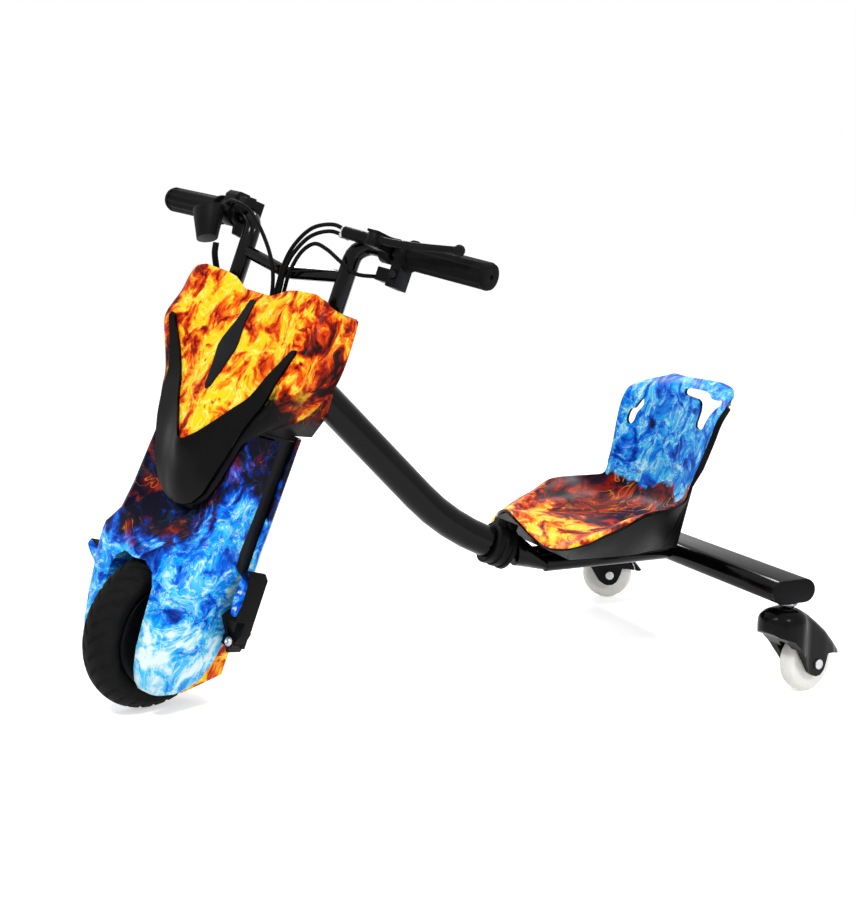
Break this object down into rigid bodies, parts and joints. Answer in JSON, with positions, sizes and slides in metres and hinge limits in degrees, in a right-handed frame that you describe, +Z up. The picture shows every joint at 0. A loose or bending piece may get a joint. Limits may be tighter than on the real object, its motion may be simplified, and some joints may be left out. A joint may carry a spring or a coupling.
{
  "type": "electric drift trike",
  "caption": "Low ride-on electric drift trike: steered motor wheel under a masked shroud, bucket seat on a tube frame and swivelling casters behind.",
  "frame": {"origin": "on the floor under the middle of the bounding box", "axes": "+Y runs to the rear along the length, +X to the rider's left, +Z up; the steering stands turned 27 degrees to the left"},
  "size_m": [0.5754, 0.916, 0.6294],
  "materials": {
    "gloss_black_paint": "gloss",
    "satin_black_plastic": "satin",
    "dark_grey_plastic": "satin",
    "black_rubber": "matte",
    "tyre_rubber": "matte",
    "zinc_steel": "satin",
    "motor_shell": "satin",
    "fire_print": "gloss",
    "ice_print": "gloss",
    "gloss_black_plastic": "gloss",
    "white_wheel": "satin",
    "battery_case": "satin"
  },
  "bodies": {
    "frame": {"head_tube": "gloss_black_paint", "main_tube": "gloss_black_paint", "collar_clamp": "satin_black_plastic", "rail_yoke": "gloss_black_paint", "seat_rail_left": "gloss_black_paint", "seat_rail_right": "gloss_black_paint", "rear_beam": "gloss_black_paint", "beam_cap_left": "satin_black_plastic", "beam_cap_right": "satin_black_plastic", "seat_bracket": "satin_black_plastic", "seat_base": "satin_black_plastic", "seat_shell": "fire_print", "caster_socket_left": "zinc_steel", "caster_socket_right": "zinc_steel"},
    "front_wheel": {"front_tyre": "tyre_rubber", "hub_motor": "motor_shell"},
    "brake_lever_body": {"brake_lever": "satin_black_plastic"},
    "throttle_lever_body": {"throttle_lever": "satin_black_plastic"},
    "switch_button_body": {"switch_button": "dark_grey_plastic"},
    "power_button_body": {"power_button": "dark_grey_plastic"},
    "footrest_left_body": {"footrest_left": "black_rubber"},
    "footrest_right_body": {"footrest_right": "black_rubber"},
    "caster_left": {"caster_fork_left": "satin_black_plastic", "caster_axle_left": "zinc_steel"},
    "caster_left_wheel": {"caster_wheel_left": "white_wheel"},
    "caster_right": {"caster_fork_right": "satin_black_plastic", "caster_axle_right": "zinc_steel"},
    "caster_right_wheel": {"caster_wheel_right": "white_wheel"},
    "steering": {"lower_crown": "gloss_black_paint", "upper_crown": "gloss_black_paint", "handlebar": "gloss_black_paint", "fork_leg_left": "gloss_black_paint", "fork_leg_right": "gloss_black_paint", "core_shell": "satin_black_plastic", "top_cover": "satin_black_plastic", "brake_perch": "satin_black_plastic", "switch_box": "satin_black_plastic", "throttle_housing": "satin_black_plastic", "power_box": "satin_black_plastic", "horn": "satin_black_plastic", "footrest_bracket_left": "satin_black_plastic", "footrest_bracket_right": "satin_black_plastic", "controller": "dark_grey_plastic", "dart_trim": "dark_grey_plastic", "grip_left": "black_rubber", "grip_right": "black_rubber", "brake_cable_front": "black_rubber", "brake_cable_rear": "black_rubber", "switch_wire": "black_rubber", "throttle_wire": "black_rubber", "horn_lead": "black_rubber", "front_axle": "zinc_steel", "steerer": "zinc_steel", "mask": "fire_print", "tail_cover": "fire_print", "front_shroud": "ice_print", "rear_cover": "ice_print", "visor": "gloss_black_plastic", "battery_pack": "battery_case"}
  },
  "joints": [
    {"name": "steer", "type": "hinge", "parent": "frame", "child": "steering", "pos_m": [0.00036, -0.36518, 0.1], "axis": [0, 0.342, 0.9397], "range_deg": [-60, 6]},
    {"name": "front_wheel_spin", "type": "hinge", "parent": "steering", "child": "front_wheel", "pos_m": [0.00036, -0.36518, 0.1], "axis": [0.891, 0.4266, -0.1553], "continuous": true},
    {"name": "brake_pull", "type": "hinge", "parent": "steering", "child": "brake_lever_body", "pos_m": [0.12585, -0.12603, 0.56846], "axis": [0, 0.342, 0.9397], "range_deg": [0, 7], "stiffness_Nm_per_rad": 1.5},
    {"name": "throttle_press", "type": "hinge", "parent": "steering", "child": "throttle_lever_body", "pos_m": [-0.12922, -0.20985, 0.59471], "axis": [0.9339, 0.3361, -0.1223], "range_deg": [-30, 0], "stiffness_Nm_per_rad": 0.3},
    {"name": "switch_press", "type": "slide", "parent": "steering", "child": "switch_button_body", "axis": [-0.5453, 0.7877, -0.2867], "range_m": [0, 0.0018], "stiffness_N_per_m": 300},
    {"name": "power_press", "type": "slide", "parent": "steering", "child": "power_button_body", "axis": [0, -0.342, -0.9397], "range_m": [0, 0.0018], "stiffness_N_per_m": 300},
    {"name": "footrest_left_fold", "type": "hinge", "parent": "steering", "child": "footrest_left_body", "pos_m": [0.07518, -0.29246, 0.09481], "axis": [-0.454, 0.8373, -0.3047], "range_deg": [0, 60]},
    {"name": "footrest_right_fold", "type": "hinge", "parent": "steering", "child": "footrest_right_body", "pos_m": [-0.10035, -0.3765, 0.1254], "axis": [-0.454, 0.8373, -0.3047], "range_deg": [0, 60]},
    {"name": "caster_left_swivel", "type": "hinge", "parent": "frame", "child": "caster_left", "pos_m": [0.25905, 0.36982, 0.038], "axis": [0, 0, 1], "continuous": true},
    {"name": "caster_left_roll", "type": "hinge", "parent": "caster_left", "child": "caster_left_wheel", "pos_m": [0.25157, 0.40503, 0.038], "axis": [0.9781, 0.2079, 0], "continuous": true},
    {"name": "caster_right_swivel", "type": "hinge", "parent": "frame", "child": "caster_right", "pos_m": [-0.25834, 0.36982, 0.038], "axis": [0, 0, 1], "continuous": true},
    {"name": "caster_right_roll", "type": "hinge", "parent": "caster_right", "child": "caster_right_wheel", "pos_m": [-0.24603, 0.40365, 0.038], "axis": [0.9397, -0.342, 0], "continuous": true}
  ]
}
